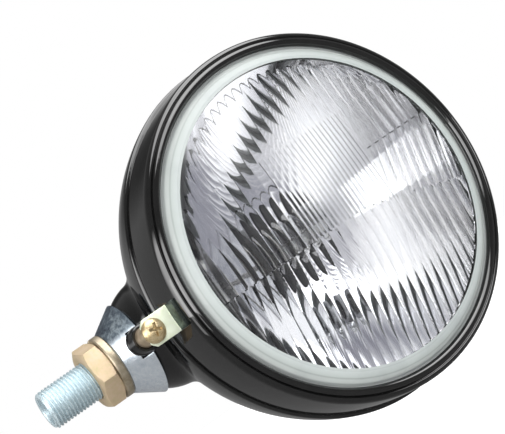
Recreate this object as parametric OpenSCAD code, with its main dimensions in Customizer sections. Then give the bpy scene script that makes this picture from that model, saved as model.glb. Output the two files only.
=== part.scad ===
// Side-mounted tractor headlamp: pressed steel bowl and rim, fluted glass, reflector,
// and a ball swivel clamped by a hollow threaded stud.
// The origin is the centre of the swivel cup's outer clamping face, on the stud's axis.
// +Z is up, the lamp shines along -Y and the stud points towards -X.

/* [Rim] */
// Outer radius of the rim
rim_r = 75; // [68:0.5:90]
// Depth of the rim behind the plane of its lip
rim_depth = 20; // [18:0.5:28]
// Width of the lip over the glass, seen from the front
lip_w = 6; // [5:0.1:8]
// Sheet thickness of the rim
rim_sheet = 0.9; // [0.7:0.1:1.2]
// Radius of the rounded bead at the front
bead_r = 1.6; // [1.3:0.1:1.9]
// How far the bead stands in front of the lip
bead_stand = 1.2; // [0.8:0.1:1.5]
// Width of the sloping shoulder outside the bead
shoulder_w = 1.6; // [1.2:0.1:2]
// Height of the ridge inside the rim that the clips sit behind
ridge_h = 0.8; // [0.5:0.1:1.2]

/* [Glass] */
// Thickness of the glass
glass_t = 2.8; // [2.4:0.1:4]
// Width of the plain ring around the fluted field, from the lip inwards
ring_w = 5.6; // [4:0.1:12]
// Height of the rounded shoulder inside the plain ring
glass_rise = 4.5; // [1:0.1:6]
// Height of the domed field above that shoulder
dome_h = 4.6; // [3:0.1:10]
// Thickness of the rubber ring behind the glass
lens_seal_t = 0.8; // [0.6:0.1:2]

/* [Reflector] */
// Focal length of the mirror
focal_l = 24; // [23:0.1:27]
// Width of the flange outside the mirror
flange_w = 6.5; // [5:0.1:9]
// Sheet thickness of the mirror
mirror_t = 0.8; // [0.6:0.1:1.2]
// Radius of the main bulb's hole in the mirror
bulb_hole_r = 19; // [17:0.5:21]
// Distance of the side light below the lamp's axis
side_drop = 34; // [31:0.5:40]

/* [Bowl] */
// Sheet thickness of the bowl
bowl_sheet = 1.2; // [0.9:0.1:1.6]
// Air gap between the bowl and the inside of the rim
bowl_gap = 0.6; // [0.5:0.1:2]
// How far the bowl's round back stands out past the rim
bowl_out = 1.5; // [0.5:0.1:4]
// Distance of the round back's centre behind the bowl's edge
bowl_set = 2.7; // [0:0.1:8]
// Gap between the rim's back edge and the bowl's shoulder
shoulder_gap = 0.5; // [0.4:0.1:2]
// Thickness of the sealing ring in front of the bowl's edge
bowl_seal_t = 1.8; // [1:0.1:3]

/* [Swivel] */
// Outer radius of the ball formed on the bowl
ball_r = 23.2; // [20:0.1:26]
// Angle of the ball behind the lamp's side, seen from above
ball_angle = 32.5; // [25:0.5:35]
// How far the ball's centre lies inside the bowl's surface
ball_sink = 4.8; // [2:0.1:7]
// Angle by which the stud leans back from square at rest
stud_lean = 12; // [5:0.5:18]
// Largest swing of the lamp to each side
swing = 12; // [6:0.5:12]
// Sheet thickness of the swivel cup
cup_sheet = 1.2; // [1:0.1:2]
// Height of the cup's cone
cup_h = 10.7; // [8:0.1:13]
// Angle between the cone's wall and the stud's axis
cup_angle = 31.5; // [27:0.5:36]
// Width of the notch that clears the bracket
notch_w = 12; // [11:0.1:15]
// Depth of the notch along the stud
notch_deep = 4.4; // [3:0.1:6]

/* [Stud and nut] */
// Thread radius of the hollow stud
stud_r = 8; // [7:0.5:9]
// Thread pitch of the stud
stud_pitch = 1.5; // [1:0.25:2]
// Radius of the cable bore
bore_r = 5.5; // [4:0.1:6]
// Length of thread that stands free of the nut
free_thread = 21.3; // [15:0.1:40]
// Width of the nut across its flats
nut_flats = 24; // [22:0.5:28]
// Height of the nut
nut_h = 8; // [6:0.5:14]
// Thickness of the spring washer
spring_t = 3.5; // [2:0.1:4]
// Outer radius of the spring washer
spring_r = 13.4; // [12:0.1:14]

/* [Rim fixing] */
// How far the fixing lies above the lamp's middle
fix_rise = 1.1; // [0:0.1:3]
// Radius of the rim screw's shank
screw_r = 2.45; // [1.9:0.05:2.95]
// Radius of the screw's head
screw_head_r = 4.85; // [4:0.05:6]
// Height of the screw's head
screw_head_h = 3; // [2:0.1:4]
// Distance of the screw outside the rim
screw_out = 11.4; // [10:0.1:14]
// Depth of the tab's front face behind the lip
tab_depth = 8.5; // [6:0.1:10]
// Width of the tab
tab_w = 11.5; // [11:0.1:15]
// Thickness of the tab
tab_t = 1.5; // [1:0.1:2]
// Length of the tab beyond the screw
tab_beyond = 3.2; // [3.2:0.1:7]
// Outer radius of the threaded bush
bush_r = 4; // [3.6:0.1:4.6]
// Length of the bush that stands free of its boss
bush_free = 6.5; // [4:0.5:8]

/* [Bulb] */
// Radius of the bulb's locating flange
bulb_flange_r = 21.5; // [20:0.5:23]
// Radius of the bulb's glass
bulb_glass_r = 8.7; // [8:0.1:10]
// Length of the bulb's glass in front of its flange
bulb_glass_l = 42; // [36:0.5:44]

/* [Hidden] */
$fn = 96;

// Clearances: parts that are pressed or laid together, parts that slide, and loose parts
touch = 0.05;
slide = 0.2;
loose = 0.3;
eps = 0.01;

// Depths behind the lip's plane, from the glass back to the bowl's edge
lip_r = rim_r - lip_w;
lens_front = rim_sheet + loose;
lens_back = lens_front + glass_t;
flange_front = lens_back + lens_seal_t;
flange_back = flange_front + mirror_t;
clip_t = 0.9;
clip_hook = 0.5;
clip_back = flange_back + clip_t;
seal_front = clip_back + clip_hook + slide;
mouth = seal_front + bowl_seal_t;
shoulder_at = rim_depth + shoulder_gap;
bowl_centre = mouth + bowl_set;

// Radii in the rim and the bowl
rim_in = rim_r - rim_sheet;
ridge_in = rim_in - ridge_h;
ridge_at = flange_back - 1.2;
ridge_half = 0.8;
lens_r = ridge_in - 2 * loose;
field_r = lip_r - ring_w;
neck_r = rim_in - bowl_gap;
neck_in = neck_r - bowl_sheet;
bowl_r = rim_r + bowl_out;
bowl_in = bowl_r - bowl_sheet;

// Mirror
flange_r = lens_r - slide;
mirror_r = flange_r - flange_w;
apex = flange_front + mirror_r * mirror_r / (4 * focal_l);
focus = apex - focal_l;
bulb_seat = apex + 1.4;
collar_in = mirror_point(bulb_hole_r, mirror_t)[0] + touch;
collar_out = max(collar_in + 2, bulb_flange_r + 1.24);
seat_in = min(collar_in, bulb_flange_r - 2);

// Swivel, in the lamp's own axes
ball_x = (bowl_r - ball_sink) * cos(ball_angle);
ball_y = bowl_centre + (bowl_r - ball_sink) * sin(ball_angle);
ball_in = ball_r - bowl_sheet;
// Angle from the stud's axis at which the cup's edge bears on the ball
cup_edge_at = 52.57;
edge_to_ball = ball_r * cos(cup_edge_at);
face_to_ball = edge_to_ball + cup_h;
cup_end_t = 2;
cup_edge_in = sqrt(ball_r * ball_r - edge_to_ball * edge_to_ball) + slide + touch;
cup_edge_out = cup_edge_in + cup_sheet / cos(cup_angle);
cup_slope = tan(cup_angle);
stud_hole = stud_r + slide;
ball_hole_angle = asin(stud_r / ball_in) + swing + 1.2;
ball_hole_r = ball_r * sin(ball_hole_angle);
washer_t = 2;
washer_out = ball_in - slide;
washer_in = washer_out - washer_t;
washer_edge = ball_hole_angle + swing + 5;
head_r = 11.5;
head_t = 3;
head_top = sqrt(pow(washer_in - touch, 2) - head_r * head_r);
head_z = head_top - face_to_ball;

// Stud and nut
nut_back = spring_t;
nut_front = nut_back + nut_h;
stud_tip = nut_front + free_thread;
thread_mid_r = stud_r - stud_pitch / 3;
nut_bore = thread_mid_r + touch;
nut_chamfer = stud_hole - nut_bore;
tip_chamfer = 0.9;

// Rim fixing
screw_x = rim_r + screw_out;
tab_back = tab_depth + tab_t;
tab_end = screw_x + tab_beyond;
boss_t = 1.4;
boss_front = tab_back + bush_free;
bracket_t = 2;
bracket_front = shoulder_at + 0.5;
bracket_w = notch_w - 4 * slide;
bush_bore = screw_r + touch;
screw_end = bracket_front - 1;
hook_w = 10;
hook_l = 4.5;
hook_t = 0.9;

// Main bulb
plate_t = 1.2;
base_r = 11;
base_back = bulb_seat + plate_t + 9;
blade_l = 9;
block_front = base_back + 1;
block_back = base_back + 12;
spring_wire = 0.8;
boot_t = 1.5;

// Side light
side_hole_r = 6.3;
side_y = apex - side_drop * side_drop / (4 * focal_l);
holder_flange_r = side_hole_r + 2.2;

// Depth of the mirror's inner face at radius r
function mirror_y(r) = apex - r * r / (4 * focal_l);
// Radii at which the mirror's outline has a point
mirror_steps = 16;
function mirror_rad(i) = bulb_hole_r + (mirror_r - bulb_hole_r) * i / mirror_steps;
// A point on the mirror, moved out along the mirror's normal by t
function mirror_point(r, t) =
    let (slope = r / (2 * focal_l), n = sqrt(1 + slope * slope))
    [r + t * slope / n, mirror_y(r) + t / n];
// Points on an arc, from angle a to angle b in n steps
function arc(c, r, a, b, n) =
    [for (i = [0:n]) let (t = a + (b - a) * i / n) [c[0] + r * cos(t), c[1] + r * sin(t)]];
// Points on a curve from a to b that leans towards c, in n steps
function bend(a, c, b, n) =
    [for (i = [0:n]) let (t = i / n) a * pow(1 - t, 2) + c * 2 * t * (1 - t) + b * t * t];
// Depth of a domed surface of radius big, whose top is at depth top
function dome_y(r, big, top) = top + big - sqrt(big * big - r * r);

// Moves a child from the lamp's axes, with depth along its local Z, into place
module on_lamp() {
    x = ball_x + face_to_ball * cos(stud_lean);
    y = -ball_y - face_to_ball * sin(stud_lean);
    translate([x, y, 0]) rotate([-90, 0, 0]) children();
}

// Moves a child from the rim screw's axis, with depth along its local Z, into place
module on_screw() {
    on_lamp() translate([-screw_x, -fix_rise, 0]) children();
}

// Turns a child so that its local Z is the stud's axis, with the clamping face at zero
module on_stud() {
    rotate([0, -90, -stud_lean]) children();
}

// A thin straight cylinder between two depths
module post(x, down, y0, y1, r) {
    translate([x, down, y0]) cylinder(r = r, h = y1 - y0);
}

module hollow_stud() color([0.78, 0.86, 0.9]) on_stud() rotate_extrude()
    polygon([
        [bore_r, head_z - head_t + 0.5], [bore_r + 0.5, head_z - head_t],
        [head_r - 0.6, head_z - head_t], [head_r, head_z - head_t + 0.6], [head_r, head_z],
        [stud_r, head_z], [stud_r, nut_back], [thread_mid_r, nut_back + nut_chamfer],
        [thread_mid_r, nut_front - nut_chamfer], [stud_r, nut_front],
        [stud_r, stud_tip - tip_chamfer], [stud_r - tip_chamfer, stud_tip],
        [bore_r + 0.5, stud_tip], [bore_r, stud_tip - 0.5]
    ]);

module lock_nut() color([0.8, 0.71, 0.5]) on_stud() difference() {
    intersection() {
        translate([0, 0, nut_back + touch / 5]) rotate(15)
            cylinder(r = nut_flats / 2 / cos(30), h = nut_h - touch / 5, $fn = 6);
        translate([0, 0, nut_back]) rotate_extrude() polygon([
            [0, 0], [nut_flats / 2 - 0.2, 0], [nut_flats / 2 / cos(30) + 0.1, 1.3],
            [nut_flats / 2 / cos(30) + 0.1, nut_h - 1.3], [nut_flats / 2 - 0.2, nut_h], [0, nut_h]
        ]);
    }
    translate([0, 0, nut_back - eps]) cylinder(r = nut_bore, h = nut_h + 2 * eps);
    translate([0, 0, nut_back - eps])
        cylinder(r1 = stud_hole + eps, r2 = nut_bore, h = nut_chamfer + eps);
    translate([0, 0, nut_front - nut_chamfer])
        cylinder(r1 = nut_bore, r2 = stud_hole + eps, h = nut_chamfer + eps);
}

// A split ring of square wire, with its slit at the top
module spring_washer() color([0.6, 0.47, 0.38]) on_stud() difference() {
    rotate_extrude() polygon([
        [stud_hole + 0.2, 0], [spring_r - 0.4, 0], [spring_r, 0.4], [spring_r, spring_t - 0.4],
        [spring_r - 0.4, spring_t], [stud_hole + 0.2, spring_t]
    ]);
    translate([stud_r, -0.7, -1]) cube([spring_r, 1.4, spring_t + 2]);
}

// A pressed cone that bears on the ball, with a notch towards the lamp's front
module swivel_cup() color([0.7, 0.74, 0.79]) on_stud() difference() {
    cup_small = cup_edge_out - cup_h * cup_slope;
    inner_small = cup_edge_in - (cup_h - cup_end_t) * cup_slope;
    rotate_extrude() polygon([
        [stud_hole, 0], [cup_small - 0.6, 0], [cup_small + 0.2, -0.5],
        [cup_edge_out, -cup_h], [cup_edge_in, -cup_h], [inner_small, -cup_end_t],
        [stud_hole, -cup_end_t]
    ]);
    translate([fix_rise - notch_w / 2, -cup_edge_out - 2, -cup_h - 1])
        cube([notch_w, cup_edge_out, notch_deep + 1]);
}

// A dished washer inside the ball, between the ball and the stud's head
module ball_washer() color([0.66, 0.7, 0.74]) on_stud() {
    c = [0, -face_to_ball];
    a_edge = 90 - washer_edge;
    rotate_extrude() polygon(concat(
        arc(c, washer_out, a_edge, acos(stud_hole / washer_out), 8),
        arc(c, washer_in, acos(stud_hole / washer_in), a_edge, 8)
    ));
}

// A ball that is cut off flat in front of depth y
module round_back(r, y) difference() {
    translate([0, 0, bowl_centre]) sphere(r = r);
    post(0, 0, bowl_centre - r - 1, y, r + 1);
}

// A neck inside the rim, a shoulder, a round back, and a ball at its side, all in one sheet
module bowl() color([0.05, 0.05, 0.06]) on_lamp() difference() {
    union() {
        post(0, 0, mouth, shoulder_at + bowl_sheet, neck_r);
        round_back(bowl_r, shoulder_at);
        translate([-ball_x, 0, ball_y]) sphere(r = ball_r);
    }
    post(0, 0, mouth - 1, shoulder_at + 2 * bowl_sheet, neck_in);
    round_back(bowl_in, shoulder_at + bowl_sheet);
    translate([-ball_x, 0, ball_y]) sphere(r = ball_in);
    translate([-ball_x, 0, ball_y]) rotate([0, -90 + stud_lean, 0])
        cylinder(r = ball_hole_r, h = ball_r + 10);
}

// A lug on the bowl, behind the rim's edge, with a boss that carries the bush
module screw_bracket() color([0.05, 0.05, 0.06]) difference() {
    on_screw() union() {
        translate([0, -bracket_w / 2, bracket_front])
            cube([screw_x - neck_in, bracket_w, bracket_t]);
        post(0, 0, bracket_front, bracket_front + bracket_t, bracket_w / 2);
        post(0, 0, boss_front, bracket_front, bush_r + touch + boss_t);
    }
    on_lamp() translate([0, 0, bowl_centre]) sphere(r = bowl_r + eps);
    on_screw() post(0, 0, boss_front - 1, bracket_front, bush_r + touch);
    on_screw() post(0, 0, bracket_front - 1, bracket_front + bracket_t + 1, bush_bore + slide);
}

module threaded_bush() color([0.45, 0.36, 0.3]) on_screw() difference() {
    post(0, 0, tab_back, bracket_front, bush_r);
    post(0, 0, tab_back - 1, bracket_front + 1, bush_bore);
}

// Bead at the front, a sloping shoulder, and a straight side with a ridge inside
module rim() color([0.04, 0.04, 0.05]) on_lamp() {
    lip_flat = 0.3;
    nose_r = 0.6;
    bead = [lip_r + lip_flat + bead_r, bead_r - bead_stand];
    nose = [rim_r - shoulder_w, bead[1]];
    under = lens_front - 2 * touch;
    rotate_extrude() polygon(concat(
        [[lip_r, rim_sheet], [lip_r, lip_flat]],
        arc(bead, bead_r, -165, -5, 14),
        arc(nose, nose_r, -160, -50, 5),
        [[rim_r, rim_sheet + 1], [rim_r, rim_depth - 0.8], [rim_r - 0.4, rim_depth],
         [rim_in, rim_depth], [rim_in, ridge_at + 2 * ridge_half],
         [ridge_in, ridge_at + ridge_half], [ridge_in, ridge_at - ridge_half],
         [rim_in, ridge_at - 2 * ridge_half],
         [nose[0] - 0.2, under], [bead[0] + bead_r / 2, under]],
        arc(bead, bead_r - rim_sheet, 50, -150, 10)
    ));
}

// An angle whose short leg lies on the rim and whose long leg takes the screw
module rim_tab() color([0.9, 0.94, 0.82]) on_lamp() difference() {
    corner = 2;
    leg = 5.5;
    union() {
        intersection() {
            translate([0, 0, tab_back - leg - tab_t]) difference() {
                cylinder(r = rim_r + touch + tab_t, h = leg + tab_t);
                translate([0, 0, -1]) cylinder(r = rim_r + touch, h = leg + tab_t + 2);
            }
            translate([-rim_r - 5, -fix_rise - tab_w / 2, 0]) cube([10, tab_w, rim_depth]);
        }
        translate([0, -fix_rise, tab_depth]) linear_extrude(tab_t) polygon([
            [-rim_r - 1, -tab_w / 2], [-tab_end + corner, -tab_w / 2],
            [-tab_end, -tab_w / 2 + corner], [-tab_end, tab_w / 2 - corner],
            [-tab_end + corner, tab_w / 2], [-rim_r - 1, tab_w / 2]
        ]);
    }
    post(-screw_x, -fix_rise, tab_depth - 1, tab_back + 1, screw_r + slide);
}

// A pan head with a crossed recess, on a plain shank the size of its thread
module rim_screw() color([0.75, 0.64, 0.42]) on_screw() difference() {
    top = tab_depth - screw_head_h;
    recess = [5.4, 1.1, 3.2];
    rotate_extrude() polygon([
        [0, top], [screw_head_r * 0.55, top + 0.15], [screw_head_r * 0.85, top + 0.8],
        [screw_head_r, top + 1.7], [screw_head_r, tab_depth],
        [screw_r, tab_depth], [screw_r, screw_end - 0.8], [screw_r - 0.8, screw_end],
        [0, screw_end]
    ]);
    for (a = [0, 90])
        translate([0, 0, top]) rotate(a + 20) cube(recess, center = true);
}

// A hooked tongue on the rim, opposite the screw, that lies inside the bowl's edge
module rim_hook() color([0.05, 0.05, 0.06]) on_lamp() intersection() {
    tongue = neck_in - 2 * loose;
    rotate([90, 0, 0]) translate([0, 0, -hook_w / 2]) linear_extrude(hook_w) polygon([
        [rim_r, seal_front + slide], [rim_r, mouth - slide], [tongue, mouth - slide],
        [tongue, mouth + hook_l], [tongue - hook_t, mouth + hook_l],
        [tongue - hook_t, seal_front + slide]
    ]);
    post(0, 0, 0, rim_depth, rim_in - touch);
}

// A flat ring between the clips and the bowl's edge, open where the hook passes
module bowl_seal() color([0.08, 0.08, 0.08]) on_lamp() difference() {
    post(0, 0, seal_front, mouth, rim_in - slide);
    post(0, 0, seal_front - 1, mouth + 1, neck_in - 1);
    gap = hook_w + 1;
    translate([neck_in - 4, -gap / 2, seal_front - 1]) cube([10, gap, bowl_seal_t + 2]);
}

// Domed field, a rounded shoulder, and a plain flange under the rim's lip
module lens() color([0.8, 0.88, 0.85, 0.5]) on_lamp() {
    big = (field_r * field_r + dome_h * dome_h) / (2 * dome_h);
    top = lens_front - glass_rise - dome_h;
    back_r = field_r - 1;
    foot = [lip_r - 2 * loose, lens_front];
    back_foot = [foot[0] - 1.2, lens_back];
    edge = [field_r, lens_front - glass_rise];
    back_edge = [back_r, dome_y(back_r, big - glass_t, top + glass_t)];
    crown = [(2 * foot[0] + field_r) / 3, edge[1] + glass_rise / 5];
    back_crown = [crown[0] - 1.1, crown[1] + glass_t];
    front = [for (i = [0:9]) let (r = field_r * i / 10) [r, dome_y(r, big, top)]];
    back = [for (i = [9:-1:0]) let (r = back_r * i / 10) [r, dome_y(r, big - glass_t, top + glass_t)]];
    rotate_extrude() polygon(concat(front, bend(edge, crown, foot, 6),
        [[lens_r - 0.6, lens_front], [lens_r, lens_front + 0.6], [lens_r, lens_back]],
        bend(back_foot, back_crown, back_edge, 6), back));
}

module lens_seal() color([0.1, 0.1, 0.1]) on_lamp() difference() {
    post(0, 0, lens_back, flange_front, lens_r - 0.4);
    post(0, 0, lens_back - 1, flange_front + 1, mirror_r + 0.8);
}

// A paraboloid with a flat flange, and holes for the main bulb and the side light
module reflector() color([0.85, 0.86, 0.88]) on_lamp() difference() {
    rotate_extrude() polygon(concat(
        [for (i = [0:mirror_steps]) mirror_point(mirror_rad(i), 0)],
        [[flange_r, flange_front], [flange_r, flange_back],
         [mirror_point(mirror_r, mirror_t)[0] + 0.3, flange_back]],
        [for (i = [mirror_steps:-1:0]) mirror_point(mirror_rad(i), mirror_t)]
    ));
    post(0, side_drop, side_y - 15, side_y + 15, side_hole_r);
}

// Six strips of spring steel, sprung behind the ridge in the rim, against the mirror's flange
module retaining_clips() color([0.55, 0.56, 0.58]) on_lamp() {
    inner = mirror_r + 1.8;
    width = 8;
    for (k = [0:5]) rotate(30 + 60 * k - width / 2) rotate_extrude(angle = width) polygon([
        [inner, flange_back], [ridge_in, flange_back], [rim_in - slide, flange_back + 0.65],
        [rim_in - slide, clip_back + clip_hook], [ridge_in - 0.2, clip_back + clip_hook],
        [ridge_in - 0.5, clip_back], [inner, clip_back]
    ]);
}

// A turned ring on the back of the mirror that seats the bulb
module bulb_collar() color([0.7, 0.72, 0.74]) on_lamp() {
    steps = 6;
    back = mirror_t + 2 * touch;
    wide = collar_out - collar_in;
    foot = [for (i = [0:steps]) mirror_point(bulb_hole_r + wide * i / steps, back)];
    rotate_extrude() polygon(concat(foot, [
        [collar_out, mirror_y(collar_out) + 2 * mirror_t], [collar_out, bulb_seat],
        [seat_in, bulb_seat], [collar_in, bulb_seat - 1.2]
    ]));
}

// Locating flange and the shell behind it
module bulb_base() color([0.72, 0.73, 0.72]) on_lamp() rotate_extrude() polygon([
    [0, bulb_seat], [bulb_flange_r, bulb_seat], [bulb_flange_r, bulb_seat + plate_t],
    [base_r + 0.5, bulb_seat + plate_t], [base_r, bulb_seat + plate_t + 0.5],
    [base_r, base_back - 0.6], [base_r - 0.6, base_back], [0, base_back]
]);

// The metal ring that grips the foot of the glass
module bulb_socket_ring() color([0.68, 0.7, 0.7]) on_lamp() difference() {
    post(0, 0, bulb_seat - 8, bulb_seat, bulb_glass_r + 1.8);
    post(0, 0, bulb_seat - 9, bulb_seat + 1, bulb_glass_r + touch);
}

// A tube with a rounded tip, closed at the foot
module bulb_glass() color([0.9, 0.95, 0.97, 0.4]) on_lamp() {
    wall = 0.9;
    foot = 3;
    tip = bulb_seat - bulb_glass_l;
    round_at = tip + bulb_glass_r;
    rotate_extrude() polygon(concat(
        [[0, bulb_seat], [bulb_glass_r, bulb_seat]],
        arc([0, round_at], bulb_glass_r, 0, -90, 10),
        arc([0, round_at], bulb_glass_r - wall, -90, 0, 10),
        [[bulb_glass_r - wall, bulb_seat - foot], [0, bulb_seat - foot]]
    ));
}

// Three wires that rise from the foot and carry the filaments and the shield
module filament_supports() color([0.6, 0.6, 0.58]) on_lamp() {
    foot = bulb_seat - 3;
    post(-3.2, 0, focus - 3.2, foot, 0.4);
    post(3.2, 0, focus + 3.2, foot, 0.4);
    post(0, 5.2, focus - 9.2, foot, 0.5);
}

module main_filament() color([0.5, 0.48, 0.45]) on_lamp()
    translate([0, 0, focus + 2.6]) rotate([0, 90, 0])
        cylinder(r = 0.8, h = 5.6, center = true);

module dip_filament() color([0.5, 0.48, 0.45]) on_lamp()
    translate([-0.9, 0, focus - 5.6]) cylinder(r = 0.8, h = 5.6, center = true);

// A small trough under the dipped filament
module dip_shield() color([0.65, 0.66, 0.66]) on_lamp() difference() {
    post(0, 0.2, focus - 9.5, focus - 2.4, 4.3);
    post(0, 0.2, focus - 9, focus - 2.4 + 1, 3.9);
    translate([-6, -6, focus - 11]) cube([12, 6.6, 12]);
}

// Three flat blades behind the bulb: one across the top and two upright at the sides
module bulb_blades() color([0.75, 0.7, 0.55]) on_lamp() {
    translate([-4, -7, base_back]) cube([8, 0.8, blade_l]);
    for (side = [-1, 1])
        translate([side * 6.4 - 0.4, -3.5, base_back]) cube([0.8, 8, blade_l]);
}

// A moulded block with three pockets, pushed over the blades
module connector_block() color([0.85, 0.84, 0.78]) on_lamp() {
    deep = blade_l + 0.4;
    difference() {
        translate([-9.5, -9, block_front]) cube([19, 15.5, block_back - block_front]);
        translate([-4 - slide, -7 - slide, block_front - 1])
            cube([8 + 2 * slide, 0.8 + 2 * slide, deep]);
        for (side = [-1, 1])
            translate([side * 6.4 - 0.4 - slide, -3.5 - slide, block_front - 1])
                cube([0.8 + 2 * slide, 8 + 2 * slide, deep]);
    }
}

// A sprung wire ring that holds the bulb's flange on the collar
module bulb_spring() color([0.6, 0.61, 0.63]) on_lamp()
    translate([0, 0, bulb_seat + plate_t + spring_wire]) rotate_extrude()
        translate([bulb_flange_r - 4, 0]) circle(r = spring_wire, $fn = 24);

// A tapered dust cover, from the collar back to the connector
module rubber_boot() color([0.07, 0.07, 0.07]) on_lamp() {
    r0 = collar_out + touch;
    lip = bulb_seat - 3;
    small = 13.8;
    rotate_extrude() polygon([
        [r0, lip], [r0 + boot_t, lip], [r0 + boot_t, bulb_seat + 3],
        [small + boot_t, block_front], [small + boot_t, block_front + 4],
        [small, block_front + 4], [small, block_front - 0.6], [r0, bulb_seat + 2.4]
    ]);
}

// A sprung sleeve in the mirror's lower hole that carries the small bulb
module side_light_holder() color([0.35, 0.35, 0.36]) on_lamp() difference() {
    holder_back = mirror_y(side_drop - holder_flange_r) + 1.3 * mirror_t;
    union() {
        post(0, side_drop, side_y - 5, side_y + 14, side_hole_r - touch);
        post(0, side_drop, holder_back, holder_back + 1.5, holder_flange_r);
    }
    post(0, side_drop, side_y - 6, side_y + 11, 4.6);
}

module side_light_bulb() color([0.9, 0.92, 0.92, 0.5]) on_lamp() {
    tip = side_y - 9;
    translate([0, side_drop, 0]) rotate_extrude() polygon(concat(
        [[0, side_y + 11], [4.6 - touch, side_y + 11], [4.6 - touch, side_y + 1],
         [4.4, side_y]],
        arc([0, tip + 4.4], 4.4, 0, -90, 8)
    ));
}

hollow_stud();
lock_nut();
spring_washer();
swivel_cup();
ball_washer();
bowl();
screw_bracket();
threaded_bush();
rim();
rim_tab();
rim_screw();
rim_hook();
bowl_seal();
lens();
lens_seal();
reflector();
retaining_clips();
bulb_collar();
bulb_base();
bulb_socket_ring();
bulb_glass();
filament_supports();
main_filament();
dip_filament();
dip_shield();
bulb_blades();
connector_block();
bulb_spring();
rubber_boot();
side_light_holder();
side_light_bulb();
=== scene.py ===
from math import atan2, cos, degrees, floor, hypot, pi, radians, sin, sqrt, tan

import bmesh
import bpy
from mathutils import Matrix, Vector


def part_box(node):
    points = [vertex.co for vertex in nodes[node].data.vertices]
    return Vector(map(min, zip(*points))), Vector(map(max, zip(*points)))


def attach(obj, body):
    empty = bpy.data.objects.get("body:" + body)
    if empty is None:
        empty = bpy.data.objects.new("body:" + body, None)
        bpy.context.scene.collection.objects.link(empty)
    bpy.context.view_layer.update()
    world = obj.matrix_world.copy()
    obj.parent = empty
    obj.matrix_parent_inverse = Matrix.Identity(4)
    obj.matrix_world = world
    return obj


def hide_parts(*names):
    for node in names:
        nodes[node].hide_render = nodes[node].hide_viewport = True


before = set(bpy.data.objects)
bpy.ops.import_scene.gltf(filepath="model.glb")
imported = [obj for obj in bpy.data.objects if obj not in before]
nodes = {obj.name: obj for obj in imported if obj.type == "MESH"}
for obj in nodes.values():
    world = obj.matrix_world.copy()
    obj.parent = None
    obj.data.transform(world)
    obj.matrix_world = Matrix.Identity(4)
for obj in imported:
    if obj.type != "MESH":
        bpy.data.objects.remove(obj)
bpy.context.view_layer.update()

MM = 0.001

# ---------------------------------------------------------------- sizes, in mm
RIM_R, RIM_DEPTH, LIP_R = 75.0, 20.0, 69.0
# The glass: its fluted field, its edge, and the shoulder that ends at FOOT_R
FIELD_R, LENS_R, LENS_FRONT, LENS_BACK, DOME, RISE, FOOT_R = 63.4, 72.7, 1.2, 4.0, 4.6, 4.5, 68.4
DOME_R = (FIELD_R ** 2 + DOME ** 2) / (2 * DOME)
DOME_TOP = LENS_FRONT - RISE - DOME
# Widths of the flutes, the fine ones' left end, and the height of the line over them
COARSE, FINE, FINE_LEFT, TOP_LINE = 4.4, 2.03, 15.6, 31.0
# The mirror
FLANGE_FRONT, MIRROR_R, FLANGE_R, FOCAL = 4.8, 66.0, 72.5, 24.0
APEX = FLANGE_FRONT + MIRROR_R ** 2 / (4 * FOCAL)
HOLE_R, SIDE_DROP, SIDE_HOLE = 19.0, 34.0, 6.3
# The bowl and its ball
MOUTH, NECK_R, SHOULDER, BOWL_C, BOWL_R, BOWL_T = 9.0, 73.5, 20.5, 11.7, 76.5, 1.2
BALL_R, BALL_OUT, BALL_ANGLE = 23.2, 71.7, radians(32.5)
# The stud, its nut, and the tab on the rim
LEAN = radians(12)
STUD_R, BORE_R, PITCH, STUD_TIP = 8.0, 5.5, 1.5, 32.8
NUT_BACK, NUT_FRONT = 3.5, 11.5
TAB_Y, TAB_T = 8.5, 1.5

lo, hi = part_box("rim")
LAMP_X, LAMP_Y = (lo.x + hi.x) / 2, hi.y - RIM_DEPTH * MM
# Local Z is depth behind the lip, local X is to the right, local Y is down
LAMP = Matrix.Translation((LAMP_X, LAMP_Y, 0)) @ Matrix.Rotation(-pi / 2, 4, "X")
# Local Z is the stud's axis, with the clamping face at zero, and local X is up
STUD = Matrix.Rotation(-LEAN, 4, "Z") @ Matrix.Rotation(-pi / 2, 4, "Y")


# ------------------------------------------------------------------- materials
def new_material(name):
    mat = bpy.data.materials.new(name)
    mat.use_nodes = True
    tree = mat.node_tree
    tree.nodes.clear()
    out = tree.nodes.new("ShaderNodeOutputMaterial")
    bsdf = tree.nodes.new("ShaderNodeBsdfPrincipled")
    tree.links.new(bsdf.outputs[0], out.inputs["Surface"])
    coord = tree.nodes.new("ShaderNodeTexCoord")
    return mat, tree, bsdf, coord.outputs["Object"]


def noise(tree, coord, scale, detail=4.0, rough=0.55, stretch=None):
    if stretch:
        m = tree.nodes.new("ShaderNodeMapping")
        m.inputs["Scale"].default_value = stretch
        tree.links.new(coord, m.inputs["Vector"])
        coord = m.outputs[0]
    n = tree.nodes.new("ShaderNodeTexNoise")
    n.inputs["Scale"].default_value = scale
    n.inputs["Detail"].default_value = detail
    n.inputs["Roughness"].default_value = rough
    tree.links.new(coord, n.inputs["Vector"])
    return n.outputs["Fac"]


def ramp(tree, fac, stops):
    r = tree.nodes.new("ShaderNodeValToRGB")
    while len(r.color_ramp.elements) < len(stops):
        r.color_ramp.elements.new(0.5)
    for e, (at, c) in zip(r.color_ramp.elements, stops):
        e.position = at
        e.color = (*c, 1) if hasattr(c, "__len__") else (c, c, c, 1)
    tree.links.new(fac, r.inputs["Fac"])
    return r.outputs["Color"]


def spread(tree, fac, low, high, a=0.3, b=0.7):
    m = tree.nodes.new("ShaderNodeMapRange")
    m.inputs["From Min"].default_value = a
    m.inputs["From Max"].default_value = b
    m.inputs["To Min"].default_value = low
    m.inputs["To Max"].default_value = high
    tree.links.new(fac, m.inputs["Value"])
    return m.outputs["Result"]


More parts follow.
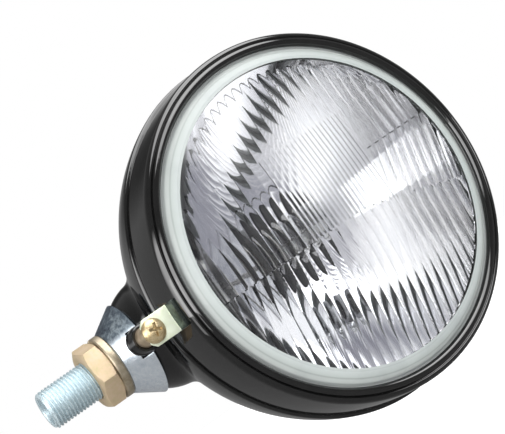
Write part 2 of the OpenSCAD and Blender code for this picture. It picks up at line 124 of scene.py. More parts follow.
def mix(tree, fac, a, b, mode="MIX"):
    m = tree.nodes.new("ShaderNodeMix")
    m.data_type = "RGBA"
    m.blend_type = mode
    for value, socket in ((fac, m.inputs["Factor"]), (a, m.inputs["A"]), (b, m.inputs["B"])):
        if hasattr(value, "links"):
            tree.links.new(value, socket)
        elif hasattr(value, "__len__"):
            socket.default_value = (*value, 1)
        else:
            socket.default_value = value
    return m.outputs["Result"]


def height(tree, coord, which="Z"):
    """Height above the stud's axis, or the place along another axis."""
    n = tree.nodes.new("ShaderNodeSeparateXYZ")
    tree.links.new(coord, n.inputs[0])
    return n.outputs[which]


def maths(tree, op, a, b=0.0):
    m = tree.nodes.new("ShaderNodeMath")
    m.operation = op
    for value, socket in ((a, m.inputs[0]), (b, m.inputs[1])):
        if hasattr(value, "links"):
            tree.links.new(value, socket)
        else:
            socket.default_value = value
    return m.outputs[0]


def bump(tree, bsdf, relief, distance, strength):
    b = tree.nodes.new("ShaderNodeBump")
    b.inputs["Distance"].default_value = distance
    b.inputs["Strength"].default_value = strength
    tree.links.new(relief, b.inputs["Height"])
    tree.links.new(b.outputs[0], bsdf.inputs["Normal"])


def plated(name, dark, mid, light, rough=(0.22, 0.38), blotch=90, metallic=1.0):
    """Plated steel: blotches of tint, fine scratches and uneven gloss."""
    mat, tree, bsdf, co = new_material(name)
    n1 = noise(tree, co, blotch, 5, 0.6)
    n2 = noise(tree, co, blotch * 7, 3, 0.6)
    both = mix(tree, 0.35, n1, n2)
    col = ramp(tree, both, [(0.34, dark), (0.5, mid), (0.64, light)])
    tree.links.new(col, bsdf.inputs["Base Color"])
    tree.links.new(spread(tree, n2, *rough), bsdf.inputs["Roughness"])
    bsdf.inputs["Metallic"].default_value = metallic
    bump(tree, bsdf, noise(tree, co, 2600, 3, 0.7), 0.00002, 0.5)
    return mat


def enamel(name):
    """Gloss black enamel: faint orange peel, dust and small scuffs."""
    mat, tree, bsdf, co = new_material(name)
    n1 = noise(tree, co, 160, 5, 0.6)
    col = ramp(tree, n1, [(0.3, 0.0021), (0.7, 0.0042)])
    tree.links.new(col, bsdf.inputs["Base Color"])
    scuff = noise(tree, co, 700, 6, 0.75, (1, 1, 0.35))
    tree.links.new(spread(tree, scuff, 0.03, 0.08, 0.45, 0.75), bsdf.inputs["Roughness"])
    bump(tree, bsdf, noise(tree, co, 420, 2, 0.5), 0.00003, 0.35)
    bsdf.inputs["IOR"].default_value = 1.66
    return mat


def rubber(name):
    mat, tree, bsdf, co = new_material(name)
    n1 = noise(tree, co, 300, 5, 0.6)
    tree.links.new(ramp(tree, n1, [(0.3, 0.012), (0.7, 0.036)]), bsdf.inputs["Base Color"])
    tree.links.new(spread(tree, n1, 0.55, 0.8), bsdf.inputs["Roughness"])
    bump(tree, bsdf, noise(tree, co, 3000, 3, 0.6), 0.00004, 0.5)
    return mat


def clear(name, tint, ior=1.52):
    """Clear glass, with slight colour variation and waviness."""
    mat, tree, bsdf, co = new_material(name)
    n1 = noise(tree, co, 60, 3, 0.5)
    light = [min(1.0, c * 1.02) for c in tint]
    tree.links.new(ramp(tree, n1, [(0.3, tint), (0.7, light)]), bsdf.inputs["Base Color"])
    bsdf.inputs["Roughness"].default_value = 0.0
    bsdf.inputs["IOR"].default_value = ior
    bsdf.inputs["Transmission Weight"].default_value = 1.0
    bump(tree, bsdf, noise(tree, co, 120, 2, 0.5), 0.00001, 0.4)
    return mat


def mirror(name):
    """Vacuum aluminised lacquer: nearly perfect, with faint haze and ripples."""
    mat, tree, bsdf, co = new_material(name)
    n1 = noise(tree, co, 45, 4, 0.6)
    tree.links.new(ramp(tree, n1, [(0.3, (0.86, 0.87, 0.89)), (0.7, (0.93, 0.93, 0.94))]),
                   bsdf.inputs["Base Color"])
    tree.links.new(spread(tree, noise(tree, co, 400, 4, 0.6), 0.02, 0.07), bsdf.inputs["Roughness"])
    bsdf.inputs["Metallic"].default_value = 1.0
    bump(tree, bsdf, noise(tree, co, 70, 2, 0.5), 0.00004, 0.5)
    return mat


def plastic(name, base):
    mat, tree, bsdf, co = new_material(name)
    n1 = noise(tree, co, 200, 4, 0.6)
    low = [c * 0.92 for c in base]
    tree.links.new(ramp(tree, n1, [(0.3, low), (0.7, base)]), bsdf.inputs["Base Color"])
    tree.links.new(spread(tree, n1, 0.35, 0.5), bsdf.inputs["Roughness"])
    bump(tree, bsdf, noise(tree, co, 2500, 3, 0.6), 0.00003, 0.4)
    return mat


black = enamel("gloss_black_enamel")
stud_zinc = plated("pale_zinc", (0.44, 0.54, 0.58), (0.52, 0.62, 0.66), (0.58, 0.67, 0.70),
                   (0.42, 0.55), metallic=0.65)
nut_zinc = plated("yellow_zinc", (0.44, 0.38, 0.22), (0.54, 0.42, 0.28), (0.58, 0.46, 0.34),
                  (0.45, 0.6), blotch=110, metallic=0.55)
bronze = plated("spring_bronze", (0.24, 0.20, 0.14), (0.34, 0.29, 0.21), (0.44, 0.38, 0.29),
                (0.3, 0.42), blotch=200, metallic=0.75)
washer_zinc = plated("inner_zinc", (0.45, 0.47, 0.50), (0.55, 0.57, 0.60), (0.66, 0.68, 0.70))
tab_zinc = plated("tab_zinc", (0.68, 0.74, 0.55), (0.76, 0.82, 0.64), (0.80, 0.85, 0.72),
                  (0.3, 0.45), metallic=0.5)
# Near-black colour as painted shade on the tab's leg, which is the same pale zinc as the tab
painted_shade_leg = plated("painted_shade_leg", (0.03, 0.035, 0.03), (0.05, 0.06, 0.055), (0.08, 0.10, 0.09),
                  (0.25, 0.4), metallic=0.9)
screw_zinc = plated("screw_zinc", (0.36, 0.27, 0.14), (0.50, 0.39, 0.22), (0.60, 0.50, 0.32),
                    (0.25, 0.38), blotch=300, metallic=0.75)
bush_steel = plated("bush_steel", (0.22, 0.17, 0.11), (0.34, 0.27, 0.19), (0.42, 0.34, 0.25),
                    (0.4, 0.6), blotch=260, metallic=0.7)
spring_steel = plated("spring_steel", (0.35, 0.36, 0.38), (0.46, 0.47, 0.49), (0.58, 0.59, 0.60))
bulb_metal = plated("nickelled_sheet", (0.50, 0.50, 0.48), (0.62, 0.62, 0.60), (0.72, 0.71, 0.68))
# Near-black painted shade: the bulb's collar and base are nickelled sheet, darkened for the deep shade in the
# mirror's middle
painted_shade_metal = plated("painted_shade_bulb_sheet", (0.06, 0.06, 0.06), (0.09, 0.09, 0.09), (0.13, 0.13, 0.13), (0.4, 0.6))
wire_metal = plated("tungsten_wire", (0.22, 0.21, 0.20), (0.32, 0.31, 0.30), (0.42, 0.41, 0.40))
brass = plated("tinned_brass", (0.58, 0.48, 0.26), (0.70, 0.60, 0.38), (0.78, 0.72, 0.55))
holder_steel = plated("plated_sheet", (0.30, 0.31, 0.32), (0.40, 0.41, 0.42), (0.52, 0.53, 0.54))
soft_rubber = rubber("black_rubber")
glass = clear("lens_glass", (0.975, 0.978, 0.985))
thin_glass = clear("bulb_glass", (0.97, 0.98, 0.98), ior=1.47)
silver = mirror("aluminised")
cream = plastic("cream_plastic", (0.78, 0.75, 0.66))


def ring_material():
    """The glass shoulder over its ground back: pale, with faint circles and cloudy streaks painted in as
    reflections.
    """
    mat, tree, bsdf, co = new_material("ground_glass_ring")
    m = tree.nodes.new("ShaderNodeVectorMath")
    m.operation = "SUBTRACT"
    m.inputs[1].default_value = (LAMP_X, 0, 0)
    tree.links.new(co, m.inputs[0])
    x, z = height(tree, m.outputs[0], "X"), height(tree, m.outputs[0])
    squares = maths(tree, "ADD", maths(tree, "MULTIPLY", x, x), maths(tree, "MULTIPLY", z, z))
    along_r = spread(tree, maths(tree, "SQRT", squares), 0.0, 1.0, FIELD_R * MM, FOOT_R * MM)
    cloud = noise(tree, m.outputs[0], 38, 5, 0.6)
    wander = maths(tree, "ADD", along_r, maths(tree, "MULTIPLY", cloud, 0.1))
    # Darker and lighter circles by radius, and the cloudy streaks multiplied over them, are painted
    # reflections
    painted_reflection_rings = ramp(tree, wander, [
        (0.0, (0.54, 0.58, 0.57)), (0.08, (0.40, 0.44, 0.43)), (0.14, (0.47, 0.51, 0.50)),
        (0.52, (0.44, 0.48, 0.465)), (0.60, (0.33, 0.365, 0.35)), (0.68, (0.46, 0.495, 0.48)),
        (0.86, (0.50, 0.535, 0.52)), (0.95, (0.33, 0.355, 0.35)), (1.0, (0.43, 0.455, 0.45))])
    light = ramp(tree, cloud, [(0.32, (0.84, 0.84, 0.85)), (0.5, 0.97), (0.68, 1.0)])
    tree.links.new(mix(tree, 1.0, painted_reflection_rings, light, "MULTIPLY"), bsdf.inputs["Base Color"])
    tree.links.new(spread(tree, cloud, 0.3, 0.5), bsdf.inputs["Roughness"])
    bsdf.inputs["Coat Weight"].default_value = 0.12
    return mat


def cup_material():
    """Bright zinc over spun sheet, turning darker, rougher and mottled towards its top."""
    mat, tree, bsdf, co = new_material("cup_zinc")
    marks = mix(tree, 0.55, noise(tree, co, 90, 4, 0.6), noise(tree, co, 600, 6, 0.7))
    col = ramp(tree, marks, [(0.36, (0.50, 0.56, 0.62)), (0.5, (0.62, 0.67, 0.72)),
                             (0.62, (0.70, 0.74, 0.78))])
    # A darker colour that takes over towards the cup's top
    dark_top_colour = ramp(tree, marks, [(0.4, (0.05, 0.06, 0.08)), (0.5, (0.12, 0.15, 0.18)),
                               (0.6, (0.30, 0.35, 0.38))])
    dull = spread(tree, height(tree, co), 0.0, 1.0, 0.0055, 0.0085)
    tree.links.new(mix(tree, dull, col, dark_top_colour), bsdf.inputs["Base Color"])
    tree.links.new(spread(tree, dull, 0.24, 0.42, 0.0, 1.0), bsdf.inputs["Roughness"])
    bsdf.inputs["Metallic"].default_value = 0.8
    bump(tree, bsdf, noise(tree, co, 1800, 4, 0.7), 0.00003, 0.5)
    return mat


cup_zinc = cup_material()
ring_glass = ring_material()


# ---------------------------------------------------------------- mesh helpers
def finish_mesh(bm, name, matrix, material, angle=35):
    """Smooth shading with sharp edges, in the row's frame."""
    bmesh.ops.remove_doubles(bm, verts=bm.verts, dist=1e-5)
    bmesh.ops.recalc_face_normals(bm, faces=bm.faces)
    for f in bm.faces:
        f.smooth = True
    limit = radians(angle)
    for e in bm.edges:
        e.smooth = e.is_manifold and e.calc_face_angle(0.0) < limit
    mesh = bpy.data.meshes.new(name)
    bm.to_mesh(mesh)
    bm.free()
    mesh.transform(matrix @ Matrix.Scale(MM, 4))
    mesh.materials.append(material)
    obj = bpy.data.objects.new(name, mesh)
    bpy.context.scene.collection.objects.link(obj)
    return obj


def revolve(bm, profile, segments=192, radius=None):
    """A closed profile of (radius, height) turned about local Z. radius may change r per angle."""
    rings = []
    for r, z in profile:
        if r < 1e-6:
            rings.append([bm.verts.new((0, 0, z))])
            continue
        ring = []
        for k in range(segments):
            a = 2 * pi * k / segments
            rr = radius(r, z, a) if radius else r
            ring.append(bm.verts.new((rr * cos(a), rr * sin(a), z)))
        rings.append(ring)
    for i, a in enumerate(rings):
        b = rings[(i + 1) % len(rings)]
        if len(a) == 1 and len(b) == 1:
            continue
        for k in range(segments):
            k1 = (k + 1) % segments
            if len(a) == 1:
                bm.faces.new((a[0], b[k], b[k1]))
            elif len(b) == 1:
                bm.faces.new((a[k], b[0], a[k1]))
            else:
                bm.faces.new((a[k], b[k], b[k1], a[k1]))
    return bm


def lathe(name, profile, matrix, material, segments=192, angle=35, radius=None):
    return finish_mesh(revolve(bmesh.new(), profile, segments, radius), name, matrix, material, angle)


def arc(c, r, a, b, n):
    return [(c[0] + r * cos(radians(a + (b - a) * i / n)), c[1] + r * sin(radians(a + (b - a) * i / n)))
            for i in range(n + 1)]


def rounded(points, size, n=3):
    """Rounds every corner of a closed outline. size is one radius, or one per corner."""
    out = []
    count = len(points)
    for i, p in enumerate(points):
        r = size[i] if hasattr(size, "__len__") else size
        p, a, b = Vector(p), Vector(points[i - 1]), Vector(points[(i + 1) % count])
        if r <= 0:
            out.append(tuple(p))
            continue
        da, db = (a - p), (b - p)
        la, lb = da.length, db.length
        da, db = da / la, db / lb
        half = da.angle(db) / 2
        back = min(r / tan(half), la * 0.45, lb * 0.45)
        s, e = p + da * back, p + db * back
        for k in range(n + 1):
            t = k / n
            out.append(tuple(s.lerp(p, t).lerp(p.lerp(e, t), t)))
    return out


def cut(obj, cutter):
    m = obj.modifiers.new("cut", "BOOLEAN")
    m.object = cutter
    m.operation = "DIFFERENCE"
    m.solver = "EXACT"
    apply_modifiers(obj)
    bpy.data.objects.remove(cutter)
    return obj


def apply_modifiers(obj):
    deps = bpy.context.evaluated_depsgraph_get()
    mesh = bpy.data.meshes.new_from_object(obj.evaluated_get(deps))
    obj.modifiers.clear()
    obj.data = mesh


def reshade(obj, angle, bevel):
    """Merges flat faces, bevels the sharp edges and smooths the rest."""
    bm = bmesh.new()
    bm.from_mesh(obj.data)
    bmesh.ops.remove_doubles(bm, verts=bm.verts, dist=2e-6)
    bmesh.ops.dissolve_limit(bm, angle_limit=radians(0.4), verts=bm.verts, edges=bm.edges)
    edges = [e for e in bm.edges if e.is_manifold and e.calc_face_angle(0.0) > radians(angle)]
    bmesh.ops.bevel(bm, geom=edges, offset=bevel * MM, segments=2, profile=0.6,
                    affect="EDGES", clamp_overlap=True)
    for f in bm.faces:
        f.smooth = True
    for e in bm.edges:
        e.smooth = e.is_manifold and e.calc_face_angle(0.0) < radians(angle)
    bm.to_mesh(obj.data)
    bm.free()
    return obj


def refined(node, material, bevel, name):
    """A copy of a CAD node with its edges broken, which stands for it."""
    obj = bpy.data.objects.new(name, nodes[node].data.copy())
    bpy.context.scene.collection.objects.link(obj)
    obj.data.materials.clear()
    obj.data.materials.append(material)
    return reshade(obj, 32, bevel)


def place(obj, body, replaced):
    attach(obj, body)
    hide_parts(replaced)


# ------------------------------------------------------------------------- rim
def make_rim():
    bead, nose = (LIP_R + 1.9, 0.4), (RIM_R - 1.6, 0.4)
    outer = [(LIP_R, 0.8), (LIP_R, 0.3)]
    outer += arc(bead, 1.6, -166, -8, 24)
    outer += [(LIP_R + 3.62, 0.3)]
    outer += arc(nose, 0.6, -165, -45, 8)
    outer += [(RIM_R - 0.72, 0.32), (RIM_R - 0.34, 0.8), (RIM_R - 0.09, 1.4), (RIM_R, 2.1)]
    side = rounded([(RIM_R, 3), (RIM_R, RIM_DEPTH), (74.1, RIM_DEPTH), (74.1, 6.0), (73.3, 5.2),
                    (73.3, 3.6), (74.1, 2.8)], [0, 0.4, 0.1, 0.2, 0.2, 0.2, 0.2], 4)
    inner = [(73.2, 1.1), (71.7, 1.1)] + arc(bead, 0.7, 50, -150, 10)
    return lathe("rim_shell", outer + side + inner + [(LIP_R + 0.06, 0.9)], LAMP, black, 288, 50)


place(make_rim(), "light_unit", "rim")


# ------------------------------------------------------------------------ bowl
def make_bowl():
    """A sphere and a ball on one line, joined by a fillet, cut off at the straight side."""
    fillet = 5.0
    # The fillet's centre keeps its distance from both spheres
    d1, d2 = BOWL_R + fillet, BALL_R + fillet
    fz = (BALL_OUT ** 2 + d1 ** 2 - d2 ** 2) / (2 * BALL_OUT)
    fr = sqrt(d1 ** 2 - fz ** 2)
    to_ball = degrees(atan2(BALL_OUT - fz, -fr))
    to_bowl = degrees(atan2(-fz, -fr))
    if to_ball < 0:
        to_ball += 360
    if to_bowl < 0:
        to_bowl += 360
    from_ball = degrees(atan2(fz - BALL_OUT, fr))
    from_bowl = degrees(atan2(fz, fr))
    prof = [(0.0, BALL_OUT + BALL_R)]
    prof += arc((0, BALL_OUT), BALL_R, 89.5, from_ball, 40)
    prof += arc((fr, fz), fillet, to_ball, to_bowl, 8)[1:-1]
    prof += arc((0, 0), BOWL_R, from_bowl, -89.5, 110)
    prof += [(0.0, -BOWL_R)]
    bm = bmesh.new()
    rings = []
    seg = 256
    for r, z in prof:
        around = [0.0] if r < 1e-6 else [2 * pi * k / seg for k in range(seg)]
        rings.append([bm.verts.new((r * cos(a), r * sin(a), z)) for a in around])
    for a, b in zip(rings, rings[1:]):
        for k in range(seg):
            k1 = (k + 1) % seg
            face = [a[0], b[k], b[k1]] if len(a) == 1 else [a[k], b[0], a[k1]] if len(b) == 1 else \
                [a[k], b[k], b[k1], a[k1]]
            bm.faces.new(face)
    # The line of the two centres, in the lamp's local axes
    turn = Matrix.Translation((0, 0, BOWL_C)) @ Matrix.Rotation(-(pi / 2 - BALL_ANGLE), 4, "Y")
    bmesh.ops.transform(bm, matrix=turn, verts=bm.verts)
    geom = bm.verts[:] + bm.edges[:] + bm.faces[:]
    bmesh.ops.bisect_plane(bm, geom=geom, dist=1e-4, plane_co=(0, 0, SHOULDER + 0.9), plane_no=(0, 0, -1),
                           clear_outer=True)
    edge = [e for e in bm.edges if e.is_boundary]
    # Round the shoulder, in to the neck, and forward to the bowl's edge
    path = [(75.85, 20.95), (75.65, 20.65), (75.25, SHOULDER), (73.9, SHOULDER), (73.6, 20.2),
            (NECK_R, 19.8), (NECK_R, MOUTH + 0.5), (NECK_R - 0.2, MOUTH)]
    for r, depth in path:
        got = bmesh.ops.extrude_edge_only(bm, edges=edge)["geom"]
        for v in (g for g in got if isinstance(g, bmesh.types.BMVert)):
            k = r / hypot(v.co.x, v.co.y)
            v.co = (v.co.x * k, v.co.y * k, depth)
        edge = [e for e in got if isinstance(e, bmesh.types.BMEdge)]
    obj = finish_mesh(bm, "bowl_shell", LAMP, black, 50)
    m = obj.modifiers.new("wall", "SOLIDIFY")
    m.thickness = BOWL_T * MM
    m.offset = -1
    m.use_even_offset = True
    apply_modifiers(obj)
    cutter = lathe("cutter", [(0, -40), (13.1, -40), (13.1, 0), (0, 0)], STUD, black, 96)
    return cut(obj, cutter)


place(make_bowl(), "housing", "bowl")


# ------------------------------------------------------------------------ lens
def front_y(r):
    return DOME_TOP + DOME_R - sqrt(DOME_R ** 2 - r * r)


def bend(a, c, b, n):
    """Points on a curve from a to b that leans towards c."""
    return [tuple(a[k] * (1 - t) ** 2 + c[k] * 2 * t * (1 - t) + b[k] * t * t for k in (0, 1))
            for t in (i / n for i in range(n + 1))]


def scallop(x, pitch, deep):
    """Depth of a row of round flutes that starts at the fine ones' left end."""
    t = (x + FINE_LEFT) / pitch
    t -= floor(t)
    return deep * (1 - (2 * t - 1) ** 2)


def lower_line(x):
    """Height of the line under the middle band, which drops to the right."""
    return -6.1 - 0.21 * max(0.0, x - 9) - 0.0006 * max(0.0, x - 9) ** 2


def arched(x, edge, drop):
    """The end of a flute, which is a round arch."""
    t = (x + FINE_LEFT) / COARSE
    t -= floor(t)
    return edge - drop * (2 * t - 1) ** 2


def flutes(x, z):
    """Depth of the flutes on the back of the glass, to the right x and up z."""
    low = lower_line(x)
    if z > TOP_LINE:
        if hypot(x, z) > arched(x, 60.0, 4.0):
            return 0.05
        return scallop(x - 0.05 * (z - 40), COARSE, 0.26) + 0.1 + 0.010 * (z - TOP_LINE)
    if z < low:
        return scallop(x - 0.1 * (z + 30), COARSE, 0.40) + 0.15 + 0.014 * (low - z)
    if x < -FINE_LEFT:
        if x > -37.6 and z < arched(x, 20.3 + 0.04 * (x + 30), 2.2):
            return scallop(x, COARSE, 0.42) + 0.3
        return scallop(x, COARSE, 0.30)
    if x < 26.5:
        return scallop(x, FINE, 0.25) + 0.12
    if z > 12:
        return scallop(x, COARSE, 0.26)
    return scallop(x - 0.3 * z, COARSE, 0.36) + 0.2


def make_lens():
    edge = FIELD_R - 1.2
    columns = round(2 * edge / 0.203)
    xs = [-edge + 2 * edge * i / columns for i in range(columns + 1)]
    zs = []
    z = -edge
    while z < edge:
        zs.append(z)
        fine = 30.6 <= z < 31.4 or -18 < z < -5.5 or 11.5 < z < 12.5 or 16.5 < z < 21.5 or z > 53
        z += 0.4 if fine else 1.0
    zs.append(edge)
    bm = bmesh.new()
    grid = {}

    def vert(i, j):
        if (i, j) not in grid:
            x, z = xs[i], zs[j]
            r = hypot(x, z)
            if r > edge:
                x, z = x * edge / r, z * edge / r
            y = front_y(hypot(x, z)) + 2.4 + flutes(x, z)
            grid[i, j] = bm.verts.new((x, -z, y))
        return grid[i, j]

    for i in range(len(xs) - 1):
        for j in range(len(zs) - 1):
            if min(hypot(a, b) for a in xs[i:i + 2] for b in zs[j:j + 2]) < edge - 0.02:
                bm.faces.new((vert(i, j), vert(i + 1, j), vert(i + 1, j + 1), vert(i, j + 1)))
    bmesh.ops.remove_doubles(bm, verts=bm.verts, dist=1e-5)
    ring = [e for e in bm.edges if e.is_boundary]
    # Round the back's shoulder, out to the edge, and back over the front to the middle
    edge_y, back_foot = LENS_FRONT - RISE, FOOT_R - 1.2
    crown = ((2 * FOOT_R + FIELD_R) / 3, edge_y + RISE / 5)
    back_edge = (FIELD_R - 0.9, front_y(FIELD_R - 0.9) + 2.75)
    path = bend(back_edge, (crown[0] - 1.1, crown[1] + 2.8), (back_foot, LENS_BACK), 10)
    path += [(LENS_R - 0.5, LENS_BACK), (LENS_R, LENS_BACK - 0.4), (LENS_R, LENS_FRONT + 0.6),
             (LENS_R - 0.6, LENS_FRONT), (FOOT_R + 0.15, LENS_FRONT)]
    path += bend((FOOT_R, LENS_FRONT + 0.01), (crown[0] - 0.03, crown[1] + 0.03),
                 (FIELD_R, edge_y + 0.01), 14)
    path += [(r, front_y(r)) for r in (62.6, 61, 58, 54, 50, 45, 40, 35, 30, 25, 20, 15, 10, 6, 3, 1)]
    for r, y in path:
        got = bmesh.ops.extrude_edge_only(bm, edges=ring)["geom"]
        for v in (g for g in got if isinstance(g, bmesh.types.BMVert)):
            k = r / hypot(v.co.x, v.co.y)
            v.co = (v.co.x * k, v.co.y * k, y)
        ring = [e for e in got if isinstance(e, bmesh.types.BMEdge)]
    top = bm.verts.new((0, 0, DOME_TOP))
    for e in ring:
        bm.faces.new((e.verts[0], e.verts[1], top))
    obj = finish_mesh(bm, "fluted_glass", LAMP, glass, 28)
    # The shoulder's front is pale, up to just inside the fluted field
    obj.data.materials.append(ring_glass)
    back_to = LAMP.inverted()
    for f in obj.data.polygons:
        c = back_to @ f.center / MM
        if hypot(c.x, c.y) > FIELD_R - 0.5 and f.normal.y < -0.05:
            f.material_index = 1
    return obj


place(make_lens(), "light_unit", "lens")


# ------------------------------------------------------------------- reflector
def mirror_y(r):
    return APEX - r * r / (4 * FOCAL)


def mirror_out(r, t):
    slope = r / (2 * FOCAL)
    n = sqrt(1 + slope * slope)
    return r + t * slope / n, mirror_y(r) + t / n


def make_reflector():
    n = 64
    radii = [HOLE_R + (MIRROR_R - HOLE_R) * i / n for i in range(n + 1)]
    inner = [(r, mirror_y(r)) for r in radii]
    outer = [mirror_out(r, 0.8) for r in reversed(radii)]
    flange = [(FLANGE_R, FLANGE_FRONT), (FLANGE_R, FLANGE_FRONT + 0.8),
              (outer[0][0] + 0.3, FLANGE_FRONT + 0.8)]
    obj = lathe("mirror_shell", inner + flange + outer, LAMP, silver, 256, 40)
    side_y = mirror_y(SIDE_DROP)
    hole = [(0, side_y - 12), (SIDE_HOLE, side_y - 12), (SIDE_HOLE, side_y + 12), (0, side_y + 12)]
    cutter = lathe("cutter", hole, LAMP @ Matrix.Translation((0, SIDE_DROP * MM, 0)), silver, 64)
    cut(obj, cutter)
    # True normals, so that the reflections stay clean
    mesh = obj.data
    back = LAMP.inverted()
    normals = [loop.normal.copy() for loop in mesh.loops]
    for poly in mesh.polygons:
        c = back @ poly.center / MM
        r = hypot(c.x, c.y)
        if HOLE_R + 0.2 < r < MIRROR_R - 0.2 and abs(c.z - mirror_y(r)) < 0.12:
            for li in poly.loop_indices:
                p = back @ mesh.vertices[mesh.loops[li].vertex_index].co / MM
                nrm = Vector((-p.x / (2 * FOCAL), -p.y / (2 * FOCAL), -1)).normalized()
                normals[li] = (LAMP.to_3x3() @ nrm).normalized()
    mesh.normals_split_custom_set(normals)
    return obj


place(make_reflector(), "light_unit", "reflector")


# ---------------------------------------------------------------- stud and nut
def make_stud():
    depth = 0.92
    head_z = -8.74
    prof = [(BORE_R, head_z - 2.5), (BORE_R + 0.5, head_z - 3), (10.9, head_z - 3), (11.5, head_z - 2.4),
            (11.5, head_z), (STUD_R, head_z), (STUD_R, NUT_BACK), (7.5, NUT_BACK + 0.7),
            (7.5, NUT_FRONT - 0.7)]
    start, end = NUT_FRONT - 0.6, STUD_TIP
    count = round((end - start) / 0.11)
    prof += [(STUD_R, start + (end - start) * i / count) for i in range(count + 1)]
    prof += [(BORE_R + 0.6, STUD_TIP), (BORE_R + 0.15, STUD_TIP - 0.25), (BORE_R, STUD_TIP - 0.6)]

    def thread(r, z, a):
        if r < STUD_R or z < start - 0.01:
            return r
        p = z / PITCH - a / (2 * pi)
        t = 1 - abs(2 * (p - floor(p)) - 1)
        h = min(1.0, max(0.0, (t - 0.2) / 0.66))
        h = h * h * (3 - 2 * h) * 0.35 + h * 0.65
        cone = STUD_TIP - z
        return min(STUD_R - depth + depth * h, STUD_R - 1.0 + cone * 1.05)

    return lathe("threaded_stud", prof, STUD, stud_zinc, 144, 60, thread)


place(make_stud(), "mount", "hollow_stud")
for node, material, edge_size, piece, body, slot in (
        ("lock_nut", nut_zinc, 0.28, "hex_nut", "mount", "nut_zinc"),
        ("spring_washer", bronze, 0.3, "split_washer", "mount", "spring_bronze"),
        ("swivel_cup", cup_zinc, 0.25, "notched_cup", "socket", "cup_zinc"),
        ("screw_bracket", black, 0.35, "bush_bracket", "housing", "black_paint"),
        ("threaded_bush", bush_steel, 0.25, "clamp_bush", "housing", "bush_steel")):
    place(refined(node, material, edge_size, piece), body, node)


def make_tab():
    """Pale on its front; the leg that lies on the rim is coloured near-black as painted shade."""
    obj = refined("rim_tab", tab_zinc, 0.25, "angle_tab")
    obj.data.materials.append(painted_shade_leg)
    back_to = LAMP.inverted()
    for f in obj.data.polygons:
        c = back_to @ f.center / MM
        # The leg's faces take the near-black painted shade colour
        if hypot(c.x, c.y) < RIM_R + TAB_T + 0.3 and c.z < TAB_Y - 0.1:
            f.material_index = 1
    return obj


place(make_tab(), "light_unit", "rim_tab")
place(refined("rim_screw", screw_zinc, 0.12, "pan_screw"), "light_unit", "rim_screw")


# ----------------------------------------------------- materials of the others
plain = {
    "ball_washer": washer_zinc, "rim_hook": black, "bowl_seal": soft_rubber, "lens_seal": soft_rubber,
    "retaining_clips": spring_steel, "bulb_collar": painted_shade_metal, "bulb_base": painted_shade_metal,
    "bulb_socket_ring": bulb_metal, "bulb_glass": thin_glass, "filament_supports": wire_metal,
    "main_filament": wire_metal, "dip_filament": wire_metal, "dip_shield": bulb_metal,
    "bulb_blades": brass, "connector_block": cream, "bulb_spring": spring_steel,
    "rubber_boot": soft_rubber, "side_light_holder": holder_steel, "side_light_bulb": thin_glass,
}
for name, material in plain.items():
    for slot in nodes[name].material_slots:
        slot.material = material


# ---------------------------------------------------------------- stage, light
def stage_disc(radius, z):
    bm = bmesh.new()
    bmesh.ops.create_circle(bm, cap_ends=True, segments=96, radius=radius)
    mesh = bpy.data.meshes.new("floor")
    bm.to_mesh(mesh)
    bm.free()
    floor_obj = bpy.data.objects.new("floor", mesh)
    floor_obj.location = (LAMP_X, LAMP_Y, z)
    bpy.context.scene.collection.objects.link(floor_obj)
    mat = bpy.data.materials.new("floor_white")
    mat.use_nodes = True
    t = mat.node_tree
    t.nodes.clear()
    out = t.nodes.new("ShaderNodeOutputMaterial")
    diff = t.nodes.new("ShaderNodeBsdfDiffuse")
    diff.inputs["Color"].default_value = (0.82, 0.82, 0.82, 1)
    lift = t.nodes.new("ShaderNodeEmission")
    far = t.nodes.new("ShaderNodeEmission")
    far.inputs["Strength"].default_value = 0.28
    path = t.nodes.new("ShaderNodeLightPath")
    t.links.new(maths(t, "MULTIPLY", path.outputs["Is Camera Ray"], 0.5), lift.inputs["Strength"])
    add = t.nodes.new("ShaderNodeAddShader")
    t.links.new(diff.outputs[0], add.inputs[0])
    t.links.new(lift.outputs[0], add.inputs[1])
    last = add
    # Glossy surfaces see a darker floor, and the glass sees the room in its place
    gone = t.nodes.new("ShaderNodeBsdfTransparent")
    for ray, shader in (("Is Glossy Ray", far), ("Is Transmission Ray", gone)):
        either = t.nodes.new("ShaderNodeMixShader")
        t.links.new(path.outputs[ray], either.inputs[0])
        t.links.new(last.outputs[0], either.inputs[1])
        t.links.new(shader.outputs[0], either.inputs[2])
        last = either
    t.links.new(last.outputs[0], out.inputs["Surface"])
    mesh.materials.append(mat)


stage_disc(9.0, -0.30)

# The camera: angles in degrees, distance in m, focal length in pixels, and its offset in mm
AZ, EL, ROLL, DIST, FOCUS_PX, SHIFT_X, SHIFT_Y = -30.136, -1.879, -35.221, 0.900, 2343.6, -29.016, -1.402
PICTURE_WIDTH, SENSOR = 505, 36
a, e, r = radians(AZ), radians(EL), radians(ROLL)
back = Vector((sin(a) * cos(e), -cos(a) * cos(e), sin(e)))
right = Vector((cos(a), sin(a), 0))
up = back.cross(right)
cam_right = cos(r) * right + sin(r) * up
cam_up = -sin(r) * right + cos(r) * up
cam = bpy.data.cameras.new("camera")
cam.lens = FOCUS_PX * SENSOR / PICTURE_WIDTH
cam.sensor_width = SENSOR
cam_obj = bpy.data.objects.new("camera", cam)
aim = Vector((LAMP_X, LAMP_Y + 0.518 * MM, 0))
where = aim + back * DIST + cam_right * SHIFT_X * MM + cam_up * SHIFT_Y * MM
turn = Matrix((cam_right, cam_up, back)).transposed().to_4x4()
cam_obj.matrix_world = Matrix.Translation(where) @ turn
bpy.context.scene.collection.objects.link(cam_obj)
bpy.context.scene.camera = cam_obj


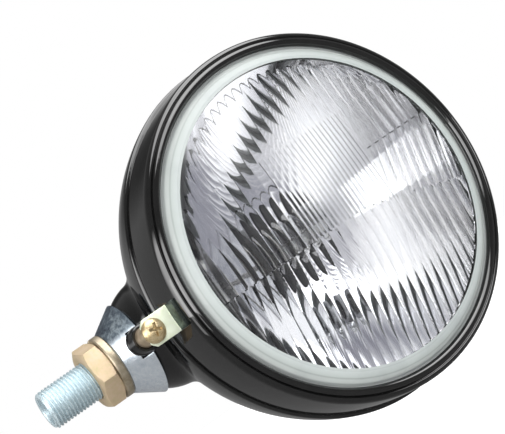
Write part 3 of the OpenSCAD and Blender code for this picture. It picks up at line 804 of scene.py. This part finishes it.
def area(name, at, side, power):
    light = bpy.data.lights.new(name, "AREA")
    light.shape = "RECTANGLE"
    light.size = light.size_y = side
    light.energy = power
    obj = bpy.data.objects.new(name, light)
    obj.location = at
    obj.rotation_euler = (middle - at).to_track_quat("-Z", "Y").to_euler()
    bpy.context.scene.collection.objects.link(obj)


middle = Vector((LAMP_X, LAMP_Y, 0))
area("overhead", middle + 1.3 * (cam_up * 0.95 + back * 0.25), 0.7, 3.0)
area("beside", middle + 1.3 * (cam_right * -0.45 + cam_up * -0.25 + back * 0.86), 0.6, 2.4)

world = bpy.data.worlds.new("studio")
bpy.context.scene.world = world
world.use_nodes = True
wt = world.node_tree
wt.nodes.clear()
w_out = wt.nodes.new("ShaderNodeOutputWorld")
w_bg = wt.nodes.new("ShaderNodeBackground")
w_dir = wt.nodes.new("ShaderNodeTexCoord").outputs["Generated"]
w_path = wt.nodes.new("ShaderNodeLightPath")


def along(x, y, z):
    """How far the ray runs along a direction, given to the right, up and towards the photographer."""
    n = wt.nodes.new("ShaderNodeVectorMath")
    n.operation = "DOT_PRODUCT"
    wt.links.new(w_dir, n.inputs[0])
    n.inputs[1].default_value = cam_right * x + cam_up * y + back * z
    return n.outputs["Value"]


def soft(value, a, b, low=0.0, high=1.0):
    n = wt.nodes.new("ShaderNodeMapRange")
    n.interpolation_type = "SMOOTHSTEP"
    n.inputs["From Min"].default_value = a
    n.inputs["From Max"].default_value = b
    n.inputs["To Min"].default_value = low
    n.inputs["To Max"].default_value = high
    wt.links.new(value, n.inputs["Value"])
    return n.outputs["Result"]


def product(first, *others):
    for o in others:
        first = maths(wt, "MULTIPLY", first, o)
    return first


w_x, w_y, w_z = along(1, 0, 0), along(0, 1, 0), along(0, 0, 1)
# A soft box overhead, and a long one beside the camera that bends under the lamp
over = product(soft(along(1, 0.68, 0), -0.06, 0.06), soft(along(-1, 0.38, 0.53), -0.05, 0.04),
               soft(along(0, 0.93, -1), -0.04, 0.06), soft(along(0, 0.85, 1), -0.1, 0.5), soft(w_y, 0.1, 0.3))
beside = product(soft(along(0.110, -0.884, 0.45), -0.03, 0.12), soft(along(0.81, -0.554, 0.197), 0.38, 0.2),
                 soft(w_z, -0.7, 0.8))
boxes = product(maths(wt, "MAXIMUM", over, beside), 5.0)
# A grey room, darker on the photographer's side, with a soft dark place behind the lamp to the left
room = product(soft(w_z, -0.9, 0.6, 0.33, 0.2), soft(along(-0.47, 0.24, -0.85), 0.93, 1.0, 1.0, 0.2))
# What rays that have passed the glass see: soft lights and darker places in front of the lamp
tall = product(soft(w_x, -0.25, -0.43), soft(w_x, -0.85, -0.68), soft(w_y, -0.5, -0.15))
low = product(soft(w_x, -0.05, 0.2), soft(w_x, 0.74, 0.5), soft(w_y, 0.2, -0.2))
high = product(soft(w_x, -0.02, 0.12), soft(w_x, 0.52, 0.34), soft(w_y, 0.4, 0.6))
dim = product(soft(w_x, -0.26, -0.14), soft(w_x, 0.08, -0.02), soft(w_y, 0.15, 0.45))
side = product(soft(w_x, 0.48, 0.7), soft(w_y, -0.5, -0.2))
lit = 0.5
for part, amount in ((tall, 0.55), (low, 0.45), (high, 0.42), (dim, -0.3), (side, -0.25)):
    lit = maths(wt, "ADD", lit, product(part, amount))
front = mix(wt, lit, (0.0, 0.0, 0.06), (1.45, 1.45, 1.45))
seen = mix(wt, w_path.outputs["Is Transmission Ray"], maths(wt, "ADD", boxes, room), front)
open_level = mix(wt, w_path.outputs["Is Camera Ray"], seen, (1.0, 1.0, 1.0))
spread_level = maths(wt, "ADD", product(boxes, 0.15), 0.42)
level = mix(wt, w_path.outputs["Is Diffuse Ray"], open_level, spread_level)
wt.links.new(level, w_bg.inputs["Color"])
w_bg.inputs["Strength"].default_value = 1.0
wt.links.new(w_bg.outputs[0], w_out.inputs["Surface"])

bpy.context.scene.view_settings.view_transform = "Standard"
